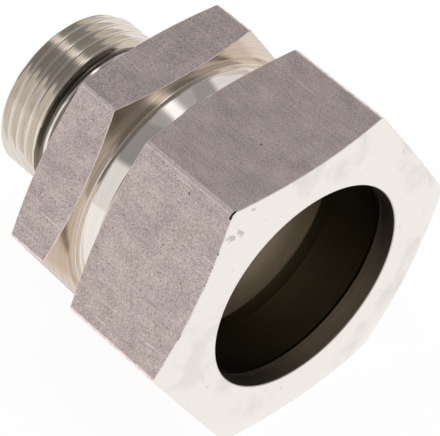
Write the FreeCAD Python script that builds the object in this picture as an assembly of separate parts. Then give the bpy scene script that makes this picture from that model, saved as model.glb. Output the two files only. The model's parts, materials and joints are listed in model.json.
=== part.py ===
import FreeCAD, Part
import math
import os

# A male stud coupling that joins a steel tube to a threaded port.
# Three pieces: the stud body, the cutting ring and the union nut.
# X runs along the axis, from the stud towards the mouth of the nut. Z is up.
# The origin is on the axis at the shoulder where the tube stops.
# The coupling lies on a flat of its nut, so one nut flat faces up and one down.
# All sizes are in millimetres.

# Tube, cone and bores
tube_diameter = 42.0
socket_play = 0.1
socket_depth = 11.0
cone_mouth_over_tube = 3.0
cone_angle = 12.0
wide_bore_under_tube = 6.0
wide_bore_depth = 12.0
drill_point_angle = 59.0

# Threaded shank of the body, under the nut
thread_over_tube = 10.0
shank_length = 19.1
shank_thread_depth = 1.4
shank_relief_depth = 1.3
shank_relief_width = 3.6
shank_rim_width = 0.75

# Hexagon of the body
body_flats_over_thread = 3.0
body_hexagon_length = 11.3
body_hexagon_clock = -1.3
body_chamfer_angle = 15.0
body_chamfer_inset = 0.6

# Sealing collar and its raised outer edge
collar_over_stud = 5.75
collar_thickness = 2.6
seal_edge_width = 1.4
seal_recess_depth = 0.35

# Stud
stud_thread_diameter = 33.249
stud_length = 18.0
stud_thread_depth = 0.75
stud_relief_depth = 1.72
stud_relief_width = 8.1
stud_relief_angle = 30.0
stud_wall = 2.9
stud_mouth_chamfer = 0.6

# Cutting ring
ring_length = 13.0
ring_bore_play = 0.15
ring_entry = 3.9
ring_shoulder_gap = 0.9
ring_wall = 3.05
ring_end_wall = 0.25
cone_gap = 0.25
bite_edge_spacing = 2.5
bite_groove_width = 1.3
bite_groove_depth = 0.15

# Union nut
nut_flats_over_thread = 8.0
nut_length = 24.5
nut_bore_play = 0.35
nut_land_length = 4.0
nut_thread_play = 0.05
nut_mouth_chamfer = 0.95
nut_front_chamfer_angle = 15.0
nut_front_chamfer_inset = 0.2
nut_rear_chamfer_angle = 15.0
nut_rear_chamfer_inset = 0.2
seat_angle = 45.0
seat_gap = 0.25

# Shared radii
tube_radius = tube_diameter / 2
socket_radius = tube_radius + socket_play
cone_mouth_radius = tube_radius + cone_mouth_over_tube / 2
wide_bore_radius = tube_radius - wide_bore_under_tube / 2
thread_diameter = tube_diameter + thread_over_tube
thread_radius = thread_diameter / 2
stud_thread_radius = stud_thread_diameter / 2
stud_core_radius = stud_thread_radius - stud_relief_depth
stud_bore_radius = stud_core_radius - stud_wall
body_across_flats = thread_diameter + body_flats_over_thread
nut_across_flats = thread_diameter + nut_flats_over_thread

# Stations along the axis of the body, from the tube stop at zero
body_end_x = socket_depth
hexagon_front_x = body_end_x - shank_length
hexagon_rear_x = hexagon_front_x - body_hexagon_length
seal_x = hexagon_rear_x - collar_thickness
stud_end_x = seal_x - stud_length

# Stations of the ring and the nut, each seated on the piece before it
ring_tip_x = body_end_x - ring_entry
ring_end_x = ring_tip_x + ring_length
ring_bore_radius = tube_radius + ring_bore_play
ring_end_radius = ring_bore_radius + ring_end_wall
nut_bore_radius = tube_radius + nut_bore_play
seat_slope = math.tan(math.radians(seat_angle))
seat_shift = seat_gap / math.sin(math.radians(seat_angle))
seat_x = ring_end_x + seat_shift - (nut_bore_radius - ring_end_radius) / seat_slope
nut_front_x = seat_x + nut_land_length
nut_rear_x = nut_front_x - nut_length


def cone_radius_at(x):
    """Radius of the body's inner cone at a station."""
    return cone_mouth_radius - (body_end_x - x) * math.tan(math.radians(cone_angle))


def turned(outline):
    """Solid of revolution about X from the (station, radius) corners of its outline."""
    points = [FreeCAD.Vector(x, 0, radius) for x, radius in outline]
    face = Part.Face(Part.makePolygon(points + points[:1]))
    return face.revolve(FreeCAD.Vector(0, 0, 0), FreeCAD.Vector(1, 0, 0), 360)


def hexagon(across_flats, rear_x, front_x, clock):
    """Hexagonal bar along X, with one flat facing up and then turned by the clock angle."""
    corner_radius = across_flats / 2 / math.cos(math.radians(30))
    corners = []
    for step in range(7):
        angle = math.radians(60 * step + clock)
        y = corner_radius * math.cos(angle)
        z = corner_radius * math.sin(angle)
        corners.append(FreeCAD.Vector(rear_x, y, z))
    face = Part.Face(Part.makePolygon(corners))
    return face.extrude(FreeCAD.Vector(front_x - rear_x, 0, 0))


def chamfer_envelope(across_flats, rear_x, front_x, rear, front):
    """Turned bar that cuts the corners of a hexagon. Rear and front are (angle, inset) pairs."""
    outer_radius = across_flats / 2 / math.cos(math.radians(30)) + 1
    rear_radius = across_flats / 2 - rear[1]
    front_radius = across_flats / 2 - front[1]
    rear_run = (outer_radius - rear_radius) * math.tan(math.radians(rear[0]))
    front_run = (outer_radius - front_radius) * math.tan(math.radians(front[0]))
    return turned([
        (rear_x, 0),
        (rear_x, rear_radius),
        (rear_x + rear_run, outer_radius),
        (front_x - front_run, outer_radius),
        (front_x, front_radius),
        (front_x, 0),
    ])


def make_stud_body():
    """The turned body with its stud, collar, hexagon, threaded shank, cone and flow bore."""
    relief_radius = thread_radius - shank_relief_depth
    relief_rear_x = hexagon_front_x + shank_rim_width
    relief_front_x = relief_rear_x + shank_relief_width
    shank = turned([
        (hexagon_front_x - body_hexagon_length / 2, 0),
        (hexagon_front_x - body_hexagon_length / 2, thread_radius),
        (relief_rear_x, thread_radius),
        (relief_rear_x, relief_radius),
        (relief_front_x, relief_radius),
        (relief_front_x + shank_relief_depth, thread_radius),
        (body_end_x - shank_thread_depth, thread_radius),
        (body_end_x, thread_radius - shank_thread_depth),
        (body_end_x, 0),
    ])

    bar = hexagon(body_across_flats, hexagon_rear_x, hexagon_front_x, body_hexagon_clock)
    chamfer = (body_chamfer_angle, body_chamfer_inset)
    bar = bar.common(chamfer_envelope(body_across_flats, hexagon_rear_x, hexagon_front_x, chamfer, chamfer))

    collar_radius = stud_thread_radius + collar_over_stud / 2
    relief_run = stud_relief_depth * math.tan(math.radians(stud_relief_angle))
    thread_start_x = seal_x - stud_relief_width
    stud = turned([
        (hexagon_rear_x + body_hexagon_length / 2, 0),
        (hexagon_rear_x + body_hexagon_length / 2, collar_radius),
        (seal_x, collar_radius),
        (seal_x, collar_radius - seal_edge_width),
        (seal_x + seal_recess_depth, collar_radius - seal_edge_width - seal_recess_depth),
        (seal_x + seal_recess_depth, stud_core_radius),
        (thread_start_x + relief_run, stud_core_radius),
        (thread_start_x, stud_thread_radius),
        (stud_end_x + stud_thread_depth, stud_thread_radius),
        (stud_end_x, stud_thread_radius - stud_thread_depth),
        (stud_end_x, 0),
    ])

    drill_point_run = (wide_bore_radius - stud_bore_radius) / math.tan(math.radians(drill_point_angle))
    cone_run = (cone_mouth_radius - socket_radius) / math.tan(math.radians(cone_angle))
    bores = turned([
        (stud_end_x - stud_mouth_chamfer, 0),
        (stud_end_x - stud_mouth_chamfer, stud_bore_radius + 2 * stud_mouth_chamfer),
        (stud_end_x + stud_mouth_chamfer, stud_bore_radius),
        (-wide_bore_depth - drill_point_run, stud_bore_radius),
        (-wide_bore_depth, wide_bore_radius),
        (0, wide_bore_radius),
        (0, socket_radius),
        (body_end_x - cone_run, socket_radius),
        (body_end_x + cone_run, cone_mouth_radius + cone_run * math.tan(math.radians(cone_angle))),
        (body_end_x + cone_run, 0),
    ])
    return shank.fuse([bar, stud]).removeSplitter().cut(bores)


def make_cutting_ring():
    """The ring with its wedge, shoulder, two biting edges in the bore and rear bevel."""
    outer_radius = ring_bore_radius + ring_wall
    tip_radius = cone_radius_at(ring_tip_x) - cone_gap
    wedge_end_x = body_end_x + ring_shoulder_gap
    wedge_end_radius = cone_radius_at(wedge_end_x) - cone_gap
    shoulder_x = wedge_end_x + (outer_radius - wedge_end_radius)
    bevel_x = ring_end_x - (outer_radius - ring_end_radius) / seat_slope
    groove_front_x = ring_tip_x + bite_edge_spacing
    groove_rear_x = groove_front_x - bite_groove_width
    return turned([
        (ring_tip_x, ring_bore_radius),
        (ring_tip_x, tip_radius),
        (wedge_end_x, wedge_end_radius),
        (shoulder_x, outer_radius),
        (bevel_x, outer_radius),
        (ring_end_x, ring_end_radius),
        (ring_end_x, ring_bore_radius),
        (groove_front_x, ring_bore_radius),
        (groove_front_x, ring_bore_radius + bite_groove_depth),
        (groove_rear_x, ring_bore_radius),
    ])


def make_union_nut():
    """The hexagon nut with its tube bore, its seat for the ring and its threaded bore."""
    bar = hexagon(nut_across_flats, nut_rear_x, nut_front_x, 0)
    rear = (nut_rear_chamfer_angle, nut_rear_chamfer_inset)
    front = (nut_front_chamfer_angle, nut_front_chamfer_inset)
    bar = bar.common(chamfer_envelope(nut_across_flats, nut_rear_x, nut_front_x, rear, front))

    bore_radius = thread_radius + nut_thread_play
    seat_end_x = seat_x - (bore_radius - nut_bore_radius) / seat_slope
    bores = turned([
        (nut_rear_x - nut_mouth_chamfer, 0),
        (nut_rear_x - nut_mouth_chamfer, bore_radius + 2 * nut_mouth_chamfer),
        (nut_rear_x + nut_mouth_chamfer, bore_radius),
        (seat_end_x, bore_radius),
        (seat_x, nut_bore_radius),
        (nut_front_x + nut_land_length, nut_bore_radius),
        (nut_front_x + nut_land_length, 0),
    ])
    return bar.cut(bores)


os.makedirs("parts", exist_ok=True)
make_stud_body().exportStep("parts/stud_body.step")
make_cutting_ring().exportStep("parts/cutting_ring.step")
make_union_nut().exportStep("parts/union_nut.step")
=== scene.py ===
import json
import math

import bmesh
import bpy
import numpy
from mathutils import Matrix, Vector


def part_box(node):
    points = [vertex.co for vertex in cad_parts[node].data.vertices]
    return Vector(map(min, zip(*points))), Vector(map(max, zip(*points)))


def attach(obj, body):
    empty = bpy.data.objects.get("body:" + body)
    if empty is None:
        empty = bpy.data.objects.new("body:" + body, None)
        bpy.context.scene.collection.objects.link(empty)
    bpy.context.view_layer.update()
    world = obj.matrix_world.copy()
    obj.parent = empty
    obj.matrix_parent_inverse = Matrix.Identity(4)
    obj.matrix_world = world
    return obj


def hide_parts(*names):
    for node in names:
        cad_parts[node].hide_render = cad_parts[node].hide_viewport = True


bl_info = {
    "name": "Male Stud Coupling",
    "version": (1, 0, 0),
    "blender": (4, 5, 0),
    "location": "3D View > Sidebar > Coupling",
    "description": "Finishes the stud body, cutting ring and union nut of a tube coupling",
    "category": "Add Mesh",
}

MM = 0.001
AXIS = (1, 0, 0)
CENTRE = (0, 0, 0)
WHITE = (1.0, 1.0, 1.0, 1.0)
WELD_DISTANCE = 0.01 * MM
CUT_DISTANCE = 0.001 * MM
BLANK_ALLOWANCE = 0.5 * MM
ARC_STEP = math.radians(15)
THREAD_STEPS = 3
SHARP_TURNED_EDGE = math.radians(12)
SHARP_THREAD_EDGE = math.radians(35)
MOST_FACET_CORNERS = 8
EDGE_SEGMENTS = 2
EDGE_WEAR = 0.12 * MM
EDGE_RUB_SCALE = 1500.0
SPECKLE_SHARE, STREAK_SHARE, CLOUD_SHARE = 0.66, 0.14, 0.20

# Dark spots where the steel is nicked, and deep pits, mostly along the edges of the nut. The rows along the
# front edge of one flat also draw a painted shadow line on that edge. Each row has its first point, the point
# that it runs towards, how many spots it has and their reach, in millimetres.
NICKS_AND_EDGE_SHADE = (
    ((23.2, -16.9, 30.0), (23.1, -18.1, 28.9), 5, 0.34),
    # These rows run along the front edge of one flat: partly a painted shadow line on that edge.
    ((24.0, -21.1, 23.4), (24.1, -21.3, 23.1), 2, 0.20),
    ((24.2, -21.9, 22.2), (24.3, -24.6, 17.4), 8, 0.15),
    ((24.2, -29.4, 8.9), (24.2, -30.1, 7.9), 3, 0.20),
    ((13.5, -18.5, 28.0), (13.8, -18.6, 27.7), 2, 0.17),
    ((14.4, -3.0, 30.0), (14.4, -3.0, 30.0), 1, 0.22),
    ((13.2, -23.9, 18.7), (13.2, -23.9, 18.7), 1, 0.18),
    ((19.6, -25.6, 15.7), (19.7, -25.7, 15.5), 2, 0.16),
)

# Grey dirt on the bright end face, near its upper corner, in rows of the same kind.
DIRT = (
    ((24.5, -18.1, 25.5), (24.5, -19.5, 25.2), 3, 0.80),
    ((24.5, -16.4, 25.4), (24.5, -17.5, 27.0), 3, 0.66),
    ((24.5, -13.4, 28.9), (24.5, -13.4, 28.9), 1, 0.80),
)

# Rows of each group of spots, how far their edges stray, and the scale of the noise that moves them.
SPOTS = {"Nicks": (NICKS_AND_EDGE_SHADE, 0.3 * MM, 2500.0), "Dirt": (DIRT, 1.4 * MM, 900.0)}

# Turned finishes: the colour, the tones and the roughness of dark and light lines, the relief, the scale.
# No finish has the name of a slot in the record, because the plain material of that slot has it already.
TURNED_FINISHES = {
    "turned_steel": ("turned", (0.95, 1.08), (0.11, 0.06), 0.04, 2400.0),
    # The shoulder finish is painted shade: a darker brown standing in for the dark reflection of the nut's
    # rear in the front of the body hexagon.
    "shoulder_steel": ("shoulder", (0.95, 1.05), (0.20, 0.14), 0.04, 2400.0),
    # The groove finish is painted shade: a dark tone standing in for the dark reflection in the groove behind
    # the stud thread.
    "groove_steel": ("groove", (0.8, 1.2), (0.24, 0.18), 0.12, 2400.0),
    "thread_steel": ("thread", (0.88, 1.08), (0.14, 0.08), 0.12, 5200.0),
    # The bore finish is painted shade: darker than the turned steel outside, for the shade and dark
    # reflections in the nut's bore.
    "bore_steel": ("bore", (0.85, 1.15), (0.38, 0.28), 0.4, 1800.0),
    "socket_steel": ("socket", (0.88, 1.12), (0.38, 0.28), 0.4, 1800.0),
    # The ring finish is partly the ring's own dark tone and partly painted shade of the enclosed bore it sits
    # in.
    "hardened_steel": ("ring", (0.92, 1.08), (0.36, 0.28), 0.05, 2800.0),
}

# Where the light in the room changes, from and to, as parts of a unit direction seen from the part.
WALL_TOP = (0.58, 0.66)
CEILING_SIDES = (-0.08, 0.02)
ROOM_BEHIND = (-0.82, -0.62)
ROOM_BEFORE = (0.20, 0.40)
STRIP_FOOT = (0.62, 0.70)
STRIP_NEAR_EDGE = (-0.01, 0.10)
STRIP_FAR_EDGE = (0.16, 0.30)

# Soft lamps: name, place and width in metres.
LAMPS = (
    ("soft_box", (-0.10, 0.10, 0.60), 0.40),
    ("fill", (0.60, -0.30, 0.20), 0.35),
)

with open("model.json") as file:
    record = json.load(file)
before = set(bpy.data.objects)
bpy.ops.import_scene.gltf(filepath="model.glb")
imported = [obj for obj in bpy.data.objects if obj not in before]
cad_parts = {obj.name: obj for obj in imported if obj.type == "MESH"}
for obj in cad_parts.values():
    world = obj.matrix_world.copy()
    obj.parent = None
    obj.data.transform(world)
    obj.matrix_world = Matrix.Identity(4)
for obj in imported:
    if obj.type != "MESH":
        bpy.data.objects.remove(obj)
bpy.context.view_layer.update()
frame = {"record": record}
body_low, body_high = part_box("stud_body")
ring_low, ring_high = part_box("cutting_ring")
nut_low, nut_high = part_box("union_nut")
mounts = {mount["name"]: mount for mount in frame["record"]["mounts"]}
seal_station = mounts["sealing_edge"]["pos_m"][0]


def number(name, description, default, **kind):
    """A plain number, in the unit or range that its kind gives."""
    return bpy.props.FloatProperty(name=name, description=description, default=default, **kind)


def size(name, description, millimetres):
    """A length that the sidebar shows in scene units."""
    return number(name, description, millimetres * MM, unit="LENGTH", precision=5)


def angle(name, description, degrees):
    """An angle that the sidebar shows in degrees."""
    return number(name, description, math.radians(degrees), subtype="ANGLE")


def share(name, description, default):
    """A number between zero and one."""
    return number(name, description, default, min=0.0, max=1.0)


def colour(name, description, default):
    """A linear colour with a swatch."""
    return bpy.props.FloatVectorProperty(name=name, description=description, default=default, size=3,
                                         subtype="COLOR", min=0.0, max=1.0)


class BodySizes(bpy.types.PropertyGroup):
    """Sizes of the stud body"""

    shank_length: size("Shank length", "From the body hexagon to the end of the threaded shank", 19.1)
    shank_radius: size("Shank radius", "Crest radius of the thread that the nut winds on", 26.0)
    shank_chamfer: size("Shank chamfer", "Chamfer at the end of the shank", 1.4)
    relief_depth: size("Relief depth", "Depth of the groove behind the shank thread", 1.3)
    relief_width: size("Relief width", "Width of the groove behind the shank thread", 3.3)
    relief_taper: size("Relief taper", "How far the floor of that groove falls towards the thread", 0.4)
    relief_round: size("Relief round", "Radius in the corners of that groove", 0.35)
    rim_width: size("Rim width", "Narrow rim between the groove and the hexagon", 0.75)
    rim_round: size("Rim round", "Broken edge of that rim", 0.15)

    hexagon_flats: size("Hexagon flats", "Across the flats of the body hexagon", 55.0)
    hexagon_length: size("Hexagon length", "Thickness of the body hexagon", 11.3)
    hexagon_clock: angle("Hexagon turn", "How far the body hexagon is turned from the nut", -1.3)
    hexagon_chamfer: angle("Hexagon chamfer", "Angle of the turned chamfer on its corners", 15.0)
    hexagon_inset: size("Hexagon inset", "How far that chamfer starts inside the flats", 0.6)
    corner_width: size("Corner width", "Width of the narrow strip on a long corner", 0.4)

    collar_radius: size("Collar radius", "Radius of the sealing collar", 19.4995)
    collar_thickness: size("Collar thickness", "From the hexagon to the sealing edge", 2.6)
    collar_round: size("Collar round", "Broken edge of the collar", 0.25)
    seal_width: size("Seal width", "Width of the sealing edge", 1.4)
    seal_recess: size("Seal recess", "Depth of the recess inside the sealing edge", 0.35)

    stud_radius: size("Stud radius", "Crest radius of the stud thread", mounts["stud_thread"]["dims"]["r_mm"])
    stud_chamfer: size("Stud chamfer", "Chamfer at the end of the stud", 0.75)
    stud_relief_depth: size("Stud relief depth", "Depth of the groove behind the stud thread", 1.72)
    stud_relief_width: size("Stud relief width", "Width of the groove behind the stud thread", 8.1)
    stud_relief_angle: angle("Stud relief angle", "Lean of the last thread flank before the groove", 30.0)
    stud_relief_round: size("Stud relief round", "Radius in the corner of the groove", 0.8)
    stud_foot_round: size("Stud foot round", "Radius at the foot of that flank", 0.4)
    stud_bore: size("Stud bore radius", "Radius of the flow bore in the stud", 12.0045)
    stud_mouth: size("Stud mouth", "Chamfer at the mouth of that bore", 0.6)

    socket_radius: size("Socket radius", "Radius of the tube socket", mounts["tube_socket"]["dims"]["r_mm"])
    cone_mouth: size("Cone mouth radius", "Radius of the cone where the ring enters", 22.5)
    cone_angle: angle("Cone angle", "Half angle of the cone", 12.0)
    wide_bore: size("Wide bore radius", "Radius of the bore behind the tube stop", 18.0)
    wide_bore_depth: size("Wide bore depth", "Depth of the bore behind the tube stop", 12.0)
    drill_angle: angle("Drill angle", "Half angle of the cone at the end of the wide bore", 59.0)


class RingSizes(bpy.types.PropertyGroup):
    """Sizes of the cutting ring"""

    bore: size("Bore radius", "Radius of the bore that slides on the tube", 21.15)
    tip: size("Tip radius", "Outer radius of the thin end", 21.42)
    wedge_length: size("Wedge length", "From the tip to the shoulder", 4.8)
    wedge_radius: size("Wedge radius", "Outer radius at the end of the wedge", 22.44)
    end_wall: size("End wall", "Thickness left at the rear end", 0.25)
    bite_spacing: size("Bite spacing", "Between the two biting edges", 2.5)
    bite_width: size("Bite width", "Width of the groove between the biting edges", 1.3)
    bite_depth: size("Bite depth", "Depth of that groove", 0.15)
    edge_round: size("Edge round", "Broken edge of the shoulder", 0.2)


class NutSizes(bpy.types.PropertyGroup):
    """Sizes of the union nut"""

    front_chamfer: angle("Front chamfer", "Angle of the chamfer at the mouth", 15.0)
    front_inset: size("Front inset", "How far the front chamfer starts inside the flats", 0.2)
    rear_chamfer: angle("Rear chamfer", "Angle of the chamfer at the rear", 15.0)
    rear_inset: size("Rear inset", "How far the rear chamfer starts inside the flats", 0.2)
    corner_width: size("Corner width", "Width of the narrow strip on a long corner", 0.6)
    bore: size("Bore radius", "Radius of the bore that the tube passes", 21.35)
    bore_round: size("Bore round", "Broken edge at the mouth of the bore", 0.15)
    land_length: size("Land length", "Length of the narrow bore", 4.0)
    thread_bore: size("Thread bore radius", "Root radius of the thread in the nut", 26.05)
    thread_mouth: size("Thread mouth radius", "Radius of the chamfer at the rear", 27.0)
    undercut_width: size("Undercut width", "Width of the groove at the end of the thread", 2.45)
    undercut_round: size("Undercut round", "Radius in the corner of that groove", 0.3)


class ThreadSizes(bpy.types.PropertyGroup):
    """Forms of the two screw threads"""

    nut_pitch: size("Nut pitch", "Pitch of the thread between nut and body", 2.0)
    nut_depth: size("Nut thread depth", "Depth of the thread on the body", 1.227)
    nut_flank: angle("Nut thread flank", "Flank angle of the thread between nut and body", 30.0)
    nut_root: size("Nut thread root", "Radius in the roots on the body", 0.289)
    nut_female_depth: size("Female depth", "Depth of the thread in the nut", 1.133)
    nut_female_crest: size("Female crest", "Half width of the crests in the nut", 0.2)
    stud_pitch: size("Stud pitch", "Pitch of the pipe thread on the stud", 2.309)
    stud_depth: size("Stud thread depth", "Depth of the pipe thread", 1.479)
    stud_flank: angle("Stud thread flank", "Flank angle of the pipe thread", 27.5)
    stud_round: size("Stud thread round", "Radius on its crests and in its roots", 0.317)
    stud_crest: size("Stud crest place", "Where a crest of the pipe thread passes the top", -35.48)
    nut_crest: size("Shank crest place", "Where a crest of the shank thread passes the top", 1.0)
    facets: bpy.props.IntProperty(name="Facets", description="Facets round each turned face", default=180)


class FinishColours(bpy.types.PropertyGroup):
    """Colours of the steel surfaces"""

    drawn: colour("Drawn flats", "Flats of the two hexagons, as drawn", (0.61, 0.512, 0.487))
    pit: colour("Pits", "Dark pits and specks in the drawn flats", (0.32, 0.27, 0.255))
    # Partly painted shade: besides nicked spots and pits, this dark colour draws a thin shadow line along the
    # front edge of one flat.
    nick: colour("Nicks", "Nicks and deep pits along the edges", (0.035, 0.03, 0.025))
    turned: colour("Turned steel", "Turned faces, grooves and chamfers", (0.83, 0.77, 0.72))
    thread: colour("Thread", "Flanks and crests of both threads", (0.76, 0.70, 0.63))
    faced: colour("Faced end", "Bright end face of the nut", (0.91, 0.862, 0.815))
    smudge: colour("Smudges", "Faint stains on the faced end", (0.60, 0.58, 0.54))
    # Painted shade: the nut's bore and seat take a darker colour for the shade and dark reflections inside
    # them.
    bore: colour("Nut bore", "Bore and seat of the nut", (0.50, 0.45, 0.39))
    socket: colour("Body bores", "Cone, tube socket and flow bore of the body", (0.66, 0.60, 0.52))
    # The ring colour is partly its own dark finish and partly painted shade of the enclosed bore around it.
    ring: colour("Ring", "Hardened and oiled cutting ring", (0.092, 0.084, 0.052))
    # Painted shade: a dark colour on the floor of the stud groove and on the last thread flank, for the dark
    # reflection there.
    groove: colour("Stud groove", "Dark film in the groove behind the stud thread", (0.24, 0.21, 0.18))
    # Painted shade: a darker brown on the front of the body hexagon, for its dark reflection of the nut's
    # rear face.
    shoulder: colour("Shoulder", "Front of the body hexagon, with a brown film", (0.70, 0.60, 0.51))
    # Painted highlight: the edges of the flats take this lighter colour for the highlights on their rounded
    # edges; scratches in the flats lighten towards it too.
    worn: colour("Worn edges", "Edges rubbed bright", (1.0, 0.87, 0.84))


class StageSettings(bpy.types.PropertyGroup):
    """Camera, floor and lights"""

    azimuth: angle("Azimuth", "Direction of the camera round the part", 46.4015)
    elevation: angle("Elevation", "Height of the camera above the horizon", 47.2348)
    roll: angle("Roll", "Tilt of the camera about its own line of sight", 2.2498)
    distance: size("Distance", "From the camera to its aim", 597.9)
    aim: bpy.props.FloatVectorProperty(name="Aim", description="Point in the middle of the picture",
                                       default=(0.007626, -0.005471, 0.007813), size=3,
                                       subtype="TRANSLATION", precision=5)
    lens: number("Lens", "Focal length for a 36 mm sensor, in millimetres", 279.75)
    floor_width: size("Floor width", "Width of the pale floor", 6000.0)
    floor_colour: colour("Floor", "Colour of the floor", (0.86, 0.86, 0.86))
    floor_glow: share("Floor glow", "White that the camera and mirrors see in the floor", 0.88)
    floor_shade: share("Floor shade", "How much of the light and shadow shows on the floor", 0.25)
    walls: share("Walls", "Brightness of the room round the part", 0.83)
    ceiling: share("Ceiling", "Brightness of the room overhead, on the far side", 0.34)
    ceiling_near: share("Ceiling near", "Brightness of the room overhead, on the camera's side", 0.30)
    behind: share("Behind", "Share of that brightness that is left behind the stud", 0.30)
    before: share("Before", "Share of that brightness that is left before the nut", 0.65)
    strip: share("Strip", "Brightness of the long soft strip of light overhead", 0.80)
    soft_box_power: number("Soft box", "Power of the lamp overhead, in watts", 0.05, precision=3)
    fill_power: number("Fill", "Power of the lamp before the nut, in watts", 0.12, precision=3)


def rounded(corners):
    """Outline through (station, radius) corners. A third value rounds its corner with an arc."""
    outline = []
    for place, corner in enumerate(corners):
        point = Vector(corner[:2])
        if len(corner) == 2:
            outline.append(point)
            continue
        before = (Vector(corners[place - 1][:2]) - point).normalized()
        after = (Vector(corners[place + 1][:2]) - point).normalized()
        half = before.angle(after) / 2
        middle = point + (before + after).normalized() * corner[2] / math.sin(half)
        start = point + before * corner[2] / math.tan(half) - middle
        sweep = math.copysign(math.pi - 2 * half, before.cross(after))
        steps = max(2, round(abs(sweep) / ARC_STEP))
        for step in range(steps + 1):
            outline.append(middle + Matrix.Rotation(-sweep * step / steps, 2) @ start)
    return outline


def new_line(outline):
    """A new mesh that holds an outline as a line of edges, ready to be turned."""
    stretch = bmesh.new()
    points = [stretch.verts.new((station, 0, radius)) for station, radius in outline]
    for pair in zip(points, points[1:]):
        stretch.edges.new(pair)
    return stretch


def join(bm, stretch, finish):
    """Adds a finished stretch to the piece, with its material."""
    for face in stretch.faces:
        face.material_index = finish
    mesh = bpy.data.meshes.new("stretch")
    stretch.to_mesh(mesh)
    stretch.free()
    bm.from_mesh(mesh)
    bpy.data.meshes.remove(mesh)


def add_turned(bm, corners, finish, facets):
    """Turns an open outline about the axis."""
    stretch = new_line(rounded(corners))
    bmesh.ops.spin(stretch, geom=stretch.verts[:] + stretch.edges[:], axis=AXIS, cent=CENTRE,
                   angle=math.tau, steps=facets, use_merge=True)
    join(bm, stretch, finish)


def thread_profile(pitch, radius, depth, flank, crest_round, root_round, root_flat):
    """One pitch of a thread, from crest to crest, as (station, radius) points."""
    lean = math.pi / 2 - flank
    lean_steps = [lean * step / THREAD_STEPS for step in range(-THREAD_STEPS, THREAD_STEPS + 1)]
    floor = radius - depth
    if root_round:
        root = [(pitch / 2 + root_round * math.sin(turn), floor + root_round * (1 - math.cos(turn)))
                for turn in lean_steps]
    else:
        root = [(pitch / 2 - root_flat, floor), (pitch / 2 + root_flat, floor)]
    if crest_round:
        crest = [(crest_round * math.sin(turn), radius - crest_round * (1 - math.cos(turn)))
                 for turn in lean_steps]
    else:
        half_crest = root[0][0] - (radius - root[0][1]) * math.tan(flank)
        crest = [(-half_crest, radius), (half_crest, radius)]
    next_crest = (crest[0][0] + pitch, crest[0][1])
    return crest + part_way(crest[-1], root[0]) + root + part_way(root[-1], next_crest) + [next_crest]


def part_way(start, end):
    """Three points that divide a thread flank, so that its ends can follow a chamfer."""
    start = Vector(start)
    end = Vector(end)
    return [start.lerp(end, quarter / 4) for quarter in (1, 2, 3)]


def add_thread(bm, profile, crest_station, envelope, inside, finish, facets):
    """Winds a thread profile along the axis and trims it to the turned shape that it is cut in."""
    pitch = profile[-1][0] - profile[0][0]
    stations, radii = zip(*envelope)
    lead = math.ceil((crest_station - stations[0]) / pitch) + 1
    start = crest_station - lead * pitch
    turns = math.ceil((stations[-1] - start) / pitch) + 1
    stretch = new_line((start + station, radius) for station, radius in profile)
    bmesh.ops.spin(stretch, geom=stretch.verts[:] + stretch.edges[:], axis=AXIS, cent=CENTRE,
                   dvec=Vector(AXIS) * pitch / facets, angle=math.tau, steps=facets)
    first_turn = stretch.verts[:] + stretch.edges[:] + stretch.faces[:]
    for turn in range(1, turns):
        copy = bmesh.ops.duplicate(stretch, geom=first_turn)["geom"]
        moved = [item for item in copy if isinstance(item, bmesh.types.BMVert)]
        bmesh.ops.translate(stretch, verts=moved, vec=Vector(AXIS) * pitch * turn)
    for vert in stretch.verts:
        station = min(max(vert.co.x, stations[0]), stations[-1])
        reach = math.hypot(vert.co.y, vert.co.z)
        limit = float(numpy.interp(station, stations, radii))
        if station in (stations[0], stations[-1]):
            radius = limit
        elif inside:
            radius = max(reach, limit)
        else:
            radius = min(reach, limit)
        vert.co = (station, vert.co.y * radius / reach, vert.co.z * radius / reach)
    join(bm, stretch, finish)


def weld(bm):
    """Joins the turned and threaded stretches into one closed skin."""
    bmesh.ops.remove_doubles(bm, verts=bm.verts, dist=WELD_DISTANCE)
    loose = [edge for edge in bm.edges if len(edge.link_faces) != 2]
    if loose:
        raise RuntimeError(f"{len(loose)} edges of a turned piece stay open")


def chamfered_blank(across_flats, rear, front):
    """Outline of the turned blank of a hexagon. Rear and front are (station, angle, inset)."""
    blank_radius = across_flats / math.sqrt(3) + BLANK_ALLOWANCE
    rear_radius = across_flats / 2 - rear[2]
    front_radius = across_flats / 2 - front[2]
    return [
        (rear[0], rear_radius),
        (rear[0] + (blank_radius - rear_radius) * math.tan(rear[1]), blank_radius),
        (front[0] - (blank_radius - front_radius) * math.tan(front[1]), blank_radius),
        (front[0], front_radius),
    ]


def cut_flats(bm, across_flats, clock, corner_width, finish, highlit_edge_finish):
    """Cuts six flats and a narrow strip on each of their corners, and rounds all their edges, which take the
    lighter edge finish with its painted highlight.
    """
    corner_reach = across_flats / math.sqrt(3) - corner_width / (2 * math.sqrt(3))
    for shift, reach, cut_finish in ((0.0, across_flats / 2, finish), (0.5, corner_reach, highlit_edge_finish)):
        for place in range(6):
            cut_plane(bm, clock + (place + shift) * math.tau / 6, reach, cut_finish)
    bmesh.ops.recalc_face_normals(bm, faces=bm.faces)
    rims = [edge for edge in bm.edges if edge.calc_face_angle(0) > SHARP_TURNED_EDGE
            and any(face.material_index in (finish, highlit_edge_finish) for face in edge.link_faces)]
    # The rounded edges and the corner strips take the lighter edge finish, a painted highlight.
    worn = bmesh.ops.bevel(bm, geom=rims, offset=EDGE_WEAR, offset_type="OFFSET", segments=EDGE_SEGMENTS,
                           profile=0.5, affect="EDGES", material=-1, clamp_overlap=True)
    for face in worn["faces"]:
        face.material_index = highlit_edge_finish


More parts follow.
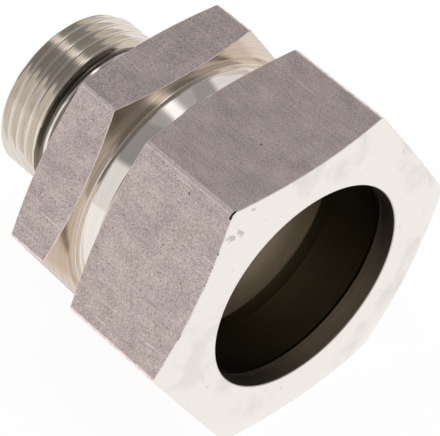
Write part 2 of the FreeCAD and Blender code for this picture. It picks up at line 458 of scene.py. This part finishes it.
def cut_plane(bm, turn, reach, finish):
    """Cuts one flat along the axis and closes it."""
    outward = Vector((0, -math.sin(turn), math.cos(turn)))
    cut = bmesh.ops.bisect_plane(bm, geom=bm.verts[:] + bm.edges[:] + bm.faces[:], dist=CUT_DISTANCE,
                                 plane_co=outward * reach, plane_no=outward, clear_outer=True)
    rim = [item for item in cut["geom_cut"] if isinstance(item, bmesh.types.BMEdge)]
    for flat in bmesh.ops.contextual_create(bm, geom=rim)["faces"]:
        flat.material_index = finish


def make_piece(bm, name, body, materials, thread_finish, flat_finish):
    """Sets the normals and sharp edges of a finished skin, and hands it over in place of its node."""
    bmesh.ops.recalc_face_normals(bm, faces=bm.faces)
    for face in bm.faces:
        face.smooth = not (face.material_index == flat_finish and len(face.verts) > MOST_FACET_CORNERS)
    for edge in bm.edges:
        threaded = all(face.material_index == thread_finish for face in edge.link_faces)
        sharp = SHARP_THREAD_EDGE if threaded else SHARP_TURNED_EDGE
        flats = all(face.material_index == flat_finish for face in edge.link_faces)
        edge.smooth = flats or edge.calc_face_angle(0) < sharp
    mesh = bpy.data.meshes.new(name)
    bm.to_mesh(mesh)
    bm.free()
    for material in materials:
        mesh.materials.append(material)
    piece = bpy.data.objects.new(name, mesh)
    bpy.context.scene.collection.objects.link(piece)
    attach(piece, body)
    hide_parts(body)


def feed(tree, socket, value):
    """Links another socket to this one, or writes a plain value in it."""
    if isinstance(value, bpy.types.NodeSocket):
        tree.links.new(value, socket)
    else:
        socket.default_value = value


def add_node(tree, kind, inputs=None, **settings):
    """A node with its settings and with what its inputs are fed."""
    node = tree.nodes.new(kind)
    for name, value in settings.items():
        setattr(node, name, value)
    for name, value in (inputs or {}).items():
        feed(tree, node.inputs[name], value)
    return node


def calculate(tree, operation, *values):
    """A Math node's result."""
    return add_node(tree, "ShaderNodeMath", dict(enumerate(values)), operation=operation).outputs[0]


def multiply(tree, *values):
    """One value times another."""
    return calculate(tree, "MULTIPLY", *values)


def noise(tree, vector, scale, detail, roughness=0.5):
    """A noise texture's value."""
    inputs = {"Vector": vector, "Scale": scale, "Detail": detail, "Roughness": roughness}
    return add_node(tree, "ShaderNodeTexNoise", inputs).outputs["Fac"]


def spread(tree, value, low, high, to_low=0.0, to_high=1.0):
    """A value spread smoothly from one range over another."""
    inputs = {"Value": value, "From Min": low, "From Max": high, "To Min": to_low, "To Max": to_high}
    return add_node(tree, "ShaderNodeMapRange", inputs, interpolation_type="SMOOTHSTEP").outputs["Result"]


def blend_colours(tree, factor, first, second):
    """A mix of two colours."""
    first, second = [value if isinstance(value, bpy.types.NodeSocket) else (*value, 1.0)
                     for value in (first, second)]
    return add_node(tree, "ShaderNodeMix", {0: factor, 6: first, 7: second}, data_type="RGBA").outputs[2]


def stretched(tree, place, share_along):
    """Coordinates that draw a pattern out along the axis of the part."""
    inputs = {"Scale": (share_along, 1.0, 1.0), "Vector": place}
    return add_node(tree, "ShaderNodeMapping", inputs).outputs["Vector"]


def new_group(name, inputs, outputs):
    """A shader node group with named number sockets, and its object coordinates."""
    group = bpy.data.node_groups.new(name, "ShaderNodeTree")
    for socket, default in inputs.items():
        made = group.interface.new_socket(socket, in_out="INPUT", socket_type="NodeSocketFloat")
        made.default_value = default
    for socket in outputs:
        group.interface.new_socket(socket, in_out="OUTPUT", socket_type="NodeSocketFloat")
    given = add_node(group, "NodeGroupInput").outputs
    result = add_node(group, "NodeGroupOutput").inputs
    place = add_node(group, "ShaderNodeTexCoord").outputs["Object"]
    return group, given, result, place


def drawn_grain_group(name):
    """Speckle, drawn streaks and pits of cold drawn bar. The streaks run along the bar."""
    inputs = {"Speckle scale": 3800.0, "Streak scale": 1100.0, "Pit scale": 2500.0, "Pit cover": 0.45}
    group, given, result, place = new_group(name, inputs, ("Tone", "Pits", "Scratches", "Height"))
    speckle = noise(group, place, given["Speckle scale"], 3.0, 0.65)
    streak = noise(group, stretched(group, place, 0.12), given["Streak scale"], 3.0, 0.6)
    scratch_scale = multiply(group, given["Streak scale"], 2.0)
    scratch = noise(group, stretched(group, place, 0.03), scratch_scale, 1.0)
    cloud = noise(group, place, calculate(group, "DIVIDE", given["Speckle scale"], 16.0), 3.0, 0.55)
    streaks = multiply(group, streak, STREAK_SHARE)
    tone = calculate(group, "ADD", multiply(group, speckle, SPECKLE_SHARE), streaks)
    tone = calculate(group, "ADD", tone, multiply(group, cloud, CLOUD_SHARE))
    pit = noise(group, place, given["Pit scale"], 2.0, 0.6)
    pit_edge = calculate(group, "SUBTRACT", 0.80, multiply(group, given["Pit cover"], 0.4))
    pits = spread(group, pit, pit_edge, calculate(group, "ADD", pit_edge, 0.06))
    height = calculate(group, "SUBTRACT", tone, multiply(group, pits, 0.8))
    feed(group, result["Tone"], spread(group, tone, 0.33, 0.67))
    feed(group, result["Pits"], pits)
    feed(group, result["Scratches"], spread(group, scratch, 0.72, 0.78))
    feed(group, result["Height"], height)
    return group


def turning_group(name):
    """Fine lines that a cutting tool leaves round the axis, on flat, conical and round faces alike."""
    group, given, result, place = new_group(name, {"Line scale": 2400.0}, ("Tone", "Height"))
    axes = add_node(group, "ShaderNodeSeparateXYZ", {0: place}).outputs
    squares = [calculate(group, "POWER", axes[axis], 2.0) for axis in "YZ"]
    reach = calculate(group, "SQRT", calculate(group, "ADD", *squares))
    section = add_node(group, "ShaderNodeCombineXYZ", {"X": axes["X"], "Y": reach})
    lines = noise(group, section.outputs[0], given["Line scale"], 3.0, 0.6)
    feed(group, result["Tone"], spread(group, lines, 0.3, 0.7))
    feed(group, result["Height"], lines)
    return group


def spots_group(name):
    """One in the named group of spots, zero elsewhere, with ragged edges."""
    rows, raggedness, ragged_scale = SPOTS[name]
    group, given, result, place = new_group(name, {"Ragged scale": ragged_scale}, (name,))
    ragged = add_node(group, "ShaderNodeTexNoise", {"Vector": place, "Scale": given["Ragged scale"]})
    inputs = {0: ragged.outputs["Color"], 1: (raggedness,) * 3, 2: place}
    shifted = add_node(group, "ShaderNodeVectorMath", inputs, operation="MULTIPLY_ADD").outputs[0]
    mean_shift = Vector((raggedness / 2,) * 3)
    mask = 0.0
    for first, last, count, reach in rows:
        for step in range(count):
            point = Vector(first).lerp(Vector(last), step / count) * MM + mean_shift
            gap = add_node(group, "ShaderNodeVectorMath", {0: shifted, 1: point}, operation="DISTANCE")
            spot = spread(group, gap.outputs["Value"], reach * 0.6 * MM, reach * MM, 1.0, 0.0)
            mask = calculate(group, "MAXIMUM", mask, spot)
    feed(group, result[name], mask)
    return group


def smudge_group(name):
    """Faint stains and specks left by handling."""
    inputs = {"Stain scale": 95.0, "Stain cover": 0.50}
    group, given, result, place = new_group(name, inputs, ("Stains", "Specks"))
    stain = noise(group, place, given["Stain scale"], 4.0, 0.6)
    edge = calculate(group, "SUBTRACT", 0.75, multiply(group, given["Stain cover"], 0.5))
    feed(group, result["Stains"], spread(group, stain, edge, calculate(group, "ADD", edge, 0.16)))
    speck = noise(group, place, multiply(group, given["Stain scale"], 8.0), 2.0, 0.5)
    feed(group, result["Specks"], spread(group, speck, 0.70, 0.78))
    return group


def place_group(tree, name, make, inputs=None):
    """The outputs of a shared node group, which is made the first time that a material asks for it."""
    shared = bpy.data.node_groups.get(name) or make(name)
    return add_node(tree, "ShaderNodeGroup", inputs, node_tree=shared).outputs


def new_steel(name):
    """A metal material, its node tree and its shader."""
    material = bpy.data.materials.new(name)
    material.use_nodes = True
    tree = material.node_tree
    shader = tree.nodes["Principled BSDF"]
    shader.inputs["Metallic"].default_value = 1.0
    return material, tree, shader


def add_bump(tree, shader, height, distance, strength):
    """Fine relief on a material."""
    inputs = {"Distance": distance, "Strength": strength, "Height": height}
    feed(tree, shader.inputs["Normal"], add_node(tree, "ShaderNodeBump", inputs).outputs["Normal"])


def drawn_steel(name, colours):
    """Flats of a drawn hexagon bar: fine speckle, faint streaks along the bar and dark pits."""
    material, tree, shader = new_steel(name)
    grain = place_group(tree, "Drawn grain", drawn_grain_group)
    dark = [channel * 0.66 for channel in colours.drawn]
    light = [min(1.0, channel * 1.30) for channel in colours.drawn]
    steel = blend_colours(tree, grain["Tone"], dark, light)
    steel = blend_colours(tree, multiply(tree, grain["Scratches"], 0.6), steel, colours.worn)
    steel = blend_colours(tree, grain["Pits"], steel, colours.pit)
    # Dark nicked spots and pits, with a painted shadow line along one front edge of the nut.
    nicks_and_edge_shade = place_group(tree, "Nicks", spots_group)
    feed(tree, shader.inputs["Base Color"], blend_colours(tree, nicks_and_edge_shade["Nicks"], steel, colours.nick))
    feed(tree, shader.inputs["Roughness"], spread(tree, grain["Tone"], 0.0, 1.0, 0.50, 0.40))
    add_bump(tree, shader, grain["Height"], 0.04 * MM, 0.35)
    return material


def lined_steel(name, colours):
    """A turned finish, with fine lines round the axis in its tone, its roughness and its relief."""
    base, tones, roughness, relief, line_scale = TURNED_FINISHES[name]
    material, tree, shader = new_steel(name)
    lines = place_group(tree, "Turning lines", turning_group, {"Line scale": line_scale})
    dark, light = [[min(1.0, channel * tone) for channel in getattr(colours, base)] for tone in tones]
    feed(tree, shader.inputs["Base Color"], blend_colours(tree, lines["Tone"], dark, light))
    feed(tree, shader.inputs["Roughness"], spread(tree, lines["Tone"], 0.0, 1.0, *roughness))
    add_bump(tree, shader, lines["Height"], 0.01 * MM, relief)
    return material


def worn_steel(name, colours):
    """Edges lighter than the flats: a painted highlight on their rounded edges, with patches rubbed by
    handling.
    """
    material, tree, shader = new_steel(name)
    rub = noise(tree, add_node(tree, "ShaderNodeTexCoord").outputs["Object"], EDGE_RUB_SCALE, 2.0)
    dark = [channel * 0.8 for channel in colours.worn]
    steel = blend_colours(tree, spread(tree, rub, 0.3, 0.6), dark, colours.worn)
    # Dark nicked spots and pits, with a painted shadow line along one front edge of the nut.
    nicks_and_edge_shade = place_group(tree, "Nicks", spots_group)
    feed(tree, shader.inputs["Base Color"], blend_colours(tree, nicks_and_edge_shade["Nicks"], steel, colours.nick))
    feed(tree, shader.inputs["Roughness"], spread(tree, rub, 0.3, 0.7, 0.56, 0.44))
    return material


def faced_steel(name, colours):
    """The bright faced end of the nut, with faint stains and specks."""
    material, tree, shader = new_steel(name)
    lines = place_group(tree, "Turning lines", turning_group, {"Line scale": 3600.0})
    marks = place_group(tree, "Smudges", smudge_group)
    dark = [channel * 0.985 for channel in colours.faced]
    light = [min(1.0, channel * 1.01) for channel in colours.faced]
    steel = blend_colours(tree, lines["Tone"], dark, light)
    steel = blend_colours(tree, multiply(tree, marks["Stains"], 0.2), steel, colours.smudge)
    steel = blend_colours(tree, multiply(tree, marks["Specks"], 0.5), steel, colours.smudge)
    dirt = place_group(tree, "Dirt", spots_group)
    feed(tree, shader.inputs["Base Color"],
         blend_colours(tree, multiply(tree, dirt["Dirt"], 0.5), steel, colours.pit))
    feed(tree, shader.inputs["Roughness"], spread(tree, marks["Stains"], 0.0, 1.0, 0.30, 0.42))
    add_bump(tree, shader, lines["Height"], 0.01 * MM, 0.03)
    return material


def finishes(names, colours):
    """The named finishes of the steel, each made the first time that a piece asks for it."""
    worked = {"drawn_steel": drawn_steel, "worn_steel": worn_steel, "faced_steel": faced_steel}
    return [bpy.data.materials.get(name) or worked.get(name, lined_steel)(name, colours) for name in names]


class COUPLING_OT_add_stud_body(bpy.types.Operator):
    """Add the stud body with its two threads, hexagon, collar, cone and flow bore"""

    bl_idname = "coupling.add_stud_body"
    bl_label = "Stud Body"

    def execute(self, context):
        sizes = context.scene.coupling_body
        threads = context.scene.coupling_threads
        colours = context.scene.coupling_colours
        turned, thread, drawn, worn, groove, shoulder, socket = range(7)
        bm = bmesh.new()
        shank_envelope = self.shank_envelope(sizes)
        stud_envelope = self.stud_envelope(sizes, threads)
        shank_form = thread_profile(threads.nut_pitch, sizes.shank_radius, threads.nut_depth,
                                    threads.nut_flank, 0.0, threads.nut_root, 0.0)
        stud_form = thread_profile(threads.stud_pitch, sizes.stud_radius, threads.stud_depth,
                                   threads.stud_flank, threads.stud_round, threads.stud_round, 0.0)
        inside = self.bore_outline(sizes, shank_envelope[-1], stud_envelope[0])
        foot, floor = self.groove_outlines(sizes, stud_envelope[-1])
        collar, front, rim = self.outer_outlines(sizes, floor[-1], shank_envelope[0])
        # The floor of the stud groove and the front of the hexagon take finishes with painted shade.
        for outline, finish in ((inside[:2], turned), (inside[1:-2], socket), (inside[-3:], turned),
                                (foot, turned), (floor, groove), (collar, turned), (front, shoulder),
                                (rim, turned)):
            add_turned(bm, outline, finish, threads.facets)
        add_thread(bm, shank_form, threads.nut_crest, shank_envelope, False, thread, threads.facets)
        add_thread(bm, stud_form, threads.stud_crest, stud_envelope, False, thread, threads.facets)
        # The last thread flank before the groove takes the groove's painted shade as well.
        run_out = stud_envelope[2][0]
        for face in bm.faces:
            if face.material_index == thread and run_out < face.calc_center_median().x < floor[0][0]:
                face.material_index = groove
        weld(bm)
        cut_flats(bm, sizes.hexagon_flats, sizes.hexagon_clock, sizes.corner_width, drawn, worn)
        materials = finishes(("turned_steel", "thread_steel", "drawn_steel", "worn_steel", "groove_steel",
                              "shoulder_steel", "socket_steel"), colours)
        make_piece(bm, "stud_body_finished", "stud_body", materials, thread, drawn)
        return {"FINISHED"}

    def shank_envelope(self, sizes):
        """Turned shape of the shank thread, from the groove to the end."""
        end = body_high.x
        groove_depth = sizes.relief_depth + sizes.relief_taper / 2
        groove_end = end - sizes.shank_length + sizes.rim_width + sizes.relief_width
        return [
            (groove_end, sizes.shank_radius - groove_depth),
            (groove_end + groove_depth, sizes.shank_radius),
            (end - sizes.shank_chamfer, sizes.shank_radius),
            (end, sizes.shank_radius - sizes.shank_chamfer),
        ]

    def stud_envelope(self, sizes, threads):
        """Turned shape of the stud thread, from its end down the flank of the groove by the collar."""
        start = body_low.x
        run_out = seal_station - sizes.stud_relief_width
        flank_run = threads.stud_depth * math.tan(sizes.stud_relief_angle)
        return [
            (start, sizes.stud_radius - sizes.stud_chamfer),
            (start + sizes.stud_chamfer, sizes.stud_radius),
            (run_out, sizes.stud_radius),
            (run_out + flank_run, sizes.stud_radius - threads.stud_depth),
        ]

    def groove_outlines(self, sizes, flank):
        """The rounded foot of the groove's flank, and the floor of the groove up to the sealing edge."""
        core = sizes.stud_radius - sizes.stud_relief_depth
        corner = flank[0] + (flank[1] - core) * math.tan(sizes.stud_relief_angle)
        foot_end = (corner + sizes.stud_foot_round, core)
        recess = seal_station + sizes.seal_recess
        seal_radius = sizes.collar_radius - sizes.seal_width
        floor = [
            foot_end,
            (recess, core, sizes.stud_relief_round),
            (recess, seal_radius - sizes.seal_recess),
            (seal_station, seal_radius),
        ]
        return [flank, (corner, core, sizes.stud_foot_round), foot_end], floor

    def bore_outline(self, sizes, shank_end, stud_end):
        """From the end of the shank in through the cone, the socket and the bores to the stud's end."""
        cone_run = (sizes.cone_mouth - sizes.socket_radius) / math.tan(sizes.cone_angle)
        drill_run = (sizes.wide_bore - sizes.stud_bore) / math.tan(sizes.drill_angle)
        return [
            shank_end,
            (shank_end[0], sizes.cone_mouth),
            (shank_end[0] - cone_run, sizes.socket_radius),
            (0, sizes.socket_radius),
            (0, sizes.wide_bore),
            (-sizes.wide_bore_depth, sizes.wide_bore),
            (-sizes.wide_bore_depth - drill_run, sizes.stud_bore),
            (stud_end[0] + sizes.stud_mouth, sizes.stud_bore),
            (stud_end[0], sizes.stud_bore + sizes.stud_mouth),
            stud_end,
        ]

    def outer_outlines(self, sizes, seal_edge, groove_end):
        """The collar with the blank of the hexagon, the front of the hexagon, and the shank's groove."""
        front = body_high.x - sizes.shank_length
        rear = front - sizes.hexagon_length
        ends = (sizes.hexagon_chamfer, sizes.hexagon_inset)
        blank = chamfered_blank(sizes.hexagon_flats, (rear, *ends), (front, *ends))
        rim = (front, sizes.shank_radius)
        collar = [
            seal_edge,
            (seal_edge[0], sizes.collar_radius, sizes.collar_round),
            (rear, sizes.collar_radius),
            *blank[:3],
        ]
        groove = [
            rim,
            (front + sizes.rim_width, sizes.shank_radius, sizes.rim_round),
            (front + sizes.rim_width, groove_end[1] + sizes.relief_taper, sizes.relief_round),
            groove_end,
        ]
        return collar, [*blank[2:], rim], groove


class COUPLING_OT_add_cutting_ring(bpy.types.Operator):
    """Add the cutting ring with its wedge, shoulder, rear bevel and biting edges"""

    bl_idname = "coupling.add_cutting_ring"
    bl_label = "Cutting Ring"

    def execute(self, context):
        sizes = context.scene.coupling_ring
        threads = context.scene.coupling_threads
        colours = context.scene.coupling_colours
        bm = bmesh.new()
        outline = self.outline(sizes)
        add_turned(bm, outline + outline[:1], 0, threads.facets)
        weld(bm)
        # The ring's dark finish is partly painted shade.
        materials = finishes(("hardened_steel",), colours)
        make_piece(bm, "cutting_ring_finished", "cutting_ring", materials, None, None)
        return {"FINISHED"}

    def outline(self, sizes):
        """Section of the ring, from the tip over the outside and back through the bore."""
        tip = ring_low.x
        end = ring_high.x
        outer = ring_high.z
        end_radius = sizes.bore + sizes.end_wall
        shoulder = tip + sizes.wedge_length + outer - sizes.wedge_radius
        groove = tip + sizes.bite_spacing
        return [
            (tip, sizes.bore),
            (tip, sizes.tip),
            (tip + sizes.wedge_length, sizes.wedge_radius),
            (shoulder, outer, sizes.edge_round),
            (end - outer + end_radius, outer, sizes.edge_round),
            (end, end_radius),
            (end, sizes.bore),
            (groove, sizes.bore),
            (groove, sizes.bore + sizes.bite_depth),
            (groove - sizes.bite_width, sizes.bore),
        ]


class COUPLING_OT_add_union_nut(bpy.types.Operator):
    """Add the union nut with its thread, seat, tube bore and bright end face"""

    bl_idname = "coupling.add_union_nut"
    bl_label = "Union Nut"

    def execute(self, context):
        sizes = context.scene.coupling_nut
        threads = context.scene.coupling_threads
        colours = context.scene.coupling_colours
        turned, thread, drawn, worn, faced, bore = range(6)
        across_flats = nut_high.z - nut_low.z
        front = nut_high.x
        bm = bmesh.new()
        envelope = self.thread_envelope(sizes, threads)
        form = thread_profile(threads.nut_pitch, sizes.thread_bore, threads.nut_female_depth,
                              threads.nut_flank, 0.0, 0.0, threads.nut_female_crest)
        face_edge = (front, sizes.bore + sizes.bore_round)
        add_turned(bm, self.bore_outline(sizes, envelope[-1], face_edge), bore, threads.facets)
        rear_end = (nut_low.x, sizes.rear_chamfer, sizes.rear_inset)
        front_end = (front, sizes.front_chamfer, sizes.front_inset)
        blank = chamfered_blank(across_flats, rear_end, front_end)
        add_turned(bm, [face_edge, blank[3], blank[2]], faced, threads.facets)
        add_turned(bm, [envelope[0], *blank[:3]], turned, threads.facets)
        add_thread(bm, form, threads.nut_crest, envelope, True, thread, threads.facets)
        weld(bm)
        # Half a facet of turn puts each corner of the hexagon in the middle of a facet.
        half_facet = Matrix.Rotation(math.pi / threads.facets, 3, "X")
        bmesh.ops.rotate(bm, verts=bm.verts, cent=CENTRE, matrix=half_facet)
        cut_flats(bm, across_flats, 0.0, sizes.corner_width, drawn, worn)
        materials = finishes(("turned_steel", "thread_steel", "drawn_steel", "worn_steel", "faced_steel",
                              "bore_steel"), colours)
        make_piece(bm, "union_nut_finished", "union_nut", materials, thread, drawn)
        return {"FINISHED"}

    def thread_envelope(self, sizes, threads):
        """Turned shape of the threaded bore, from the rear mouth to the undercut by the seat."""
        crest = sizes.thread_bore - threads.nut_female_depth
        seat_end = nut_high.x - sizes.land_length - (sizes.thread_bore - sizes.bore)
        thread_end = seat_end - sizes.undercut_width
        return [
            (nut_low.x, sizes.thread_mouth),
            (nut_low.x + sizes.thread_mouth - crest, crest),
            (thread_end - threads.nut_female_depth, crest),
            (thread_end, sizes.thread_bore),
        ]

    def bore_outline(self, sizes, thread_end, face_edge):
        """From the undercut over the 45 degree seat and the narrow bore to the end face."""
        seat = face_edge[0] - sizes.land_length
        return [
            thread_end,
            (seat - (sizes.thread_bore - sizes.bore), sizes.thread_bore, sizes.undercut_round),
            (seat, sizes.bore),
            (face_edge[0] - sizes.bore_round, sizes.bore),
            face_edge,
        ]


class COUPLING_OT_set_stage(bpy.types.Operator):
    """Set the pale floor, the room, the lamps and the camera"""

    bl_idname = "coupling.set_stage"
    bl_label = "Stage"

    def execute(self, context):
        settings = context.scene.coupling_stage
        self.add_floor(context, settings)
        self.set_world(context, settings)
        for name, place, width in LAMPS:
            self.add_lamp(context, name, place, width, getattr(settings, name + "_power"))
        self.add_camera(context, settings)
        context.scene.view_settings.view_transform = "Standard"
        return {"FINISHED"}

    def add_floor(self, context, settings):
        """A pale floor under the lowest flat of the nut."""
        bm = bmesh.new()
        bmesh.ops.create_grid(bm, x_segments=1, y_segments=1, size=settings.floor_width / 2)
        bmesh.ops.translate(bm, verts=bm.verts, vec=(0, 0, nut_low.z))
        mesh = bpy.data.meshes.new("floor")
        bm.to_mesh(mesh)
        bm.free()
        mesh.materials.append(self.floor_material(settings))
        floor = bpy.data.objects.new("floor", mesh)
        context.scene.collection.objects.link(floor)

    def floor_material(self, settings):
        """Matt and pale, and near white to the camera and in mirrors, with the shadow kept."""
        material = bpy.data.materials.new("pale_floor")
        material.use_nodes = True
        tree = material.node_tree
        tree.nodes.clear()
        matt = add_node(tree, "ShaderNodeBsdfDiffuse", {"Color": (*settings.floor_colour, 1.0)})
        shade = add_node(tree, "ShaderNodeBsdfDiffuse", {"Color": (*[settings.floor_shade] * 3, 1.0)})
        glow = add_node(tree, "ShaderNodeEmission", {"Strength": settings.floor_glow})
        seen = add_node(tree, "ShaderNodeAddShader", {0: shade.outputs[0], 1: glow.outputs[0]})
        inputs = {0: self.seen_directly(tree), 1: matt.outputs[0], 2: seen.outputs[0]}
        choice = add_node(tree, "ShaderNodeMixShader", inputs)
        add_node(tree, "ShaderNodeOutputMaterial", {"Surface": choice.outputs[0]})
        return material

    def seen_directly(self, tree):
        """One for rays from the camera, from a mirror or through glass, else zero."""
        path = add_node(tree, "ShaderNodeLightPath").outputs
        mirrored = calculate(tree, "MAXIMUM", path["Is Glossy Ray"], path["Is Transmission Ray"])
        return calculate(tree, "MAXIMUM", path["Is Camera Ray"], mirrored)

    def set_world(self, context, settings):
        """A room with pale walls and a strip light under a darker ceiling, and white to the camera."""
        world = bpy.data.worlds.new("room")
        world.use_nodes = True
        tree = world.node_tree
        room = tree.nodes["Background"]
        direction = add_node(tree, "ShaderNodeTexCoord").outputs["Generated"]
        along, across, up = add_node(tree, "ShaderNodeSeparateXYZ", {0: direction}).outputs
        ceiling = spread(tree, across, *CEILING_SIDES, settings.ceiling_near, settings.ceiling)
        level = spread(tree, up, *WALL_TOP, settings.walls, ceiling)
        level = multiply(tree, level, spread(tree, along, *ROOM_BEHIND, settings.behind, 1.0))
        level = multiply(tree, level, spread(tree, along, *ROOM_BEFORE, 1.0, settings.before))
        strip = spread(tree, up, *STRIP_FOOT, 0.0, settings.strip)
        strip = multiply(tree, strip, spread(tree, across, *STRIP_NEAR_EDGE))
        strip = multiply(tree, strip, spread(tree, across, *STRIP_FAR_EDGE, 1.0, 0.0))
        feed(tree, room.inputs["Strength"], calculate(tree, "ADD", level, strip))
        room.inputs["Color"].default_value = WHITE
        white = add_node(tree, "ShaderNodeBackground", {"Color": WHITE})
        from_camera = add_node(tree, "ShaderNodeLightPath").outputs["Is Camera Ray"]
        inputs = {0: from_camera, 1: room.outputs[0], 2: white.outputs[0]}
        choice = add_node(tree, "ShaderNodeMixShader", inputs)
        feed(tree, tree.nodes["World Output"].inputs["Surface"], choice.outputs[0])
        context.scene.world = world

    def add_lamp(self, context, name, place, width, watts):
        """A square soft lamp that faces the part."""
        lamp = bpy.data.lights.new(name, "AREA")
        lamp.size = width
        lamp.energy = watts
        holder = bpy.data.objects.new(name, lamp)
        holder.location = place
        holder.rotation_euler = (-Vector(place)).to_track_quat("-Z", "Y").to_euler()
        context.scene.collection.objects.link(holder)

    def add_camera(self, context, settings):
        """A long lens that looks down on the mouth of the nut."""
        data = bpy.data.cameras.new("camera")
        data.sensor_width = 36.0
        data.lens = settings.lens
        camera = bpy.data.objects.new("camera", data)
        level = math.cos(settings.elevation)
        back = Vector((math.sin(settings.azimuth) * level, -math.cos(settings.azimuth) * level,
                       math.sin(settings.elevation)))
        upright = (-back).to_track_quat("-Z", "Y").to_matrix()
        camera.location = Vector(settings.aim) + back * settings.distance
        camera.rotation_euler = (upright @ Matrix.Rotation(settings.roll, 3, "Z")).to_euler()
        context.scene.collection.objects.link(camera)
        context.scene.camera = camera


class COUPLING_PT_sidebar(bpy.types.Panel):
    """Lists the pieces and the stage"""

    bl_label = "Male Stud Coupling"
    bl_idname = "COUPLING_PT_sidebar"
    bl_space_type = "VIEW_3D"
    bl_region_type = "UI"
    bl_category = "Coupling"

    def draw(self, context):
        for operator, groups in LISTED:
            box = self.layout.box()
            box.operator(operator)
            for group in groups:
                values = getattr(context.scene, group)
                for name in SETTINGS[group].__annotations__:
                    box.prop(values, name)


LISTED = (
    ("coupling.add_stud_body", ("coupling_body", "coupling_threads")),
    ("coupling.add_cutting_ring", ("coupling_ring",)),
    ("coupling.add_union_nut", ("coupling_nut", "coupling_colours")),
    ("coupling.set_stage", ("coupling_stage",)),
)
SETTINGS = {
    "coupling_body": BodySizes,
    "coupling_ring": RingSizes,
    "coupling_nut": NutSizes,
    "coupling_threads": ThreadSizes,
    "coupling_colours": FinishColours,
    "coupling_stage": StageSettings,
}
OPERATORS = (
    COUPLING_OT_add_stud_body,
    COUPLING_OT_add_cutting_ring,
    COUPLING_OT_add_union_nut,
    COUPLING_OT_set_stage,
)


def register():
    for name, group in SETTINGS.items():
        bpy.utils.register_class(group)
        setattr(bpy.types.Scene, name, bpy.props.PointerProperty(type=group))
    for operator in OPERATORS:
        bpy.utils.register_class(operator)
    bpy.utils.register_class(COUPLING_PT_sidebar)


def unregister():
    bpy.utils.unregister_class(COUPLING_PT_sidebar)
    for operator in reversed(OPERATORS):
        bpy.utils.unregister_class(operator)
    for name, group in reversed(SETTINGS.items()):
        delattr(bpy.types.Scene, name)
        bpy.utils.unregister_class(group)


def main():
    """Builds every piece and the stage."""
    register()
    bpy.ops.coupling.add_stud_body()
    bpy.ops.coupling.add_cutting_ring()
    bpy.ops.coupling.add_union_nut()
    bpy.ops.coupling.set_stage()


if __name__ == "__main__":
    main()
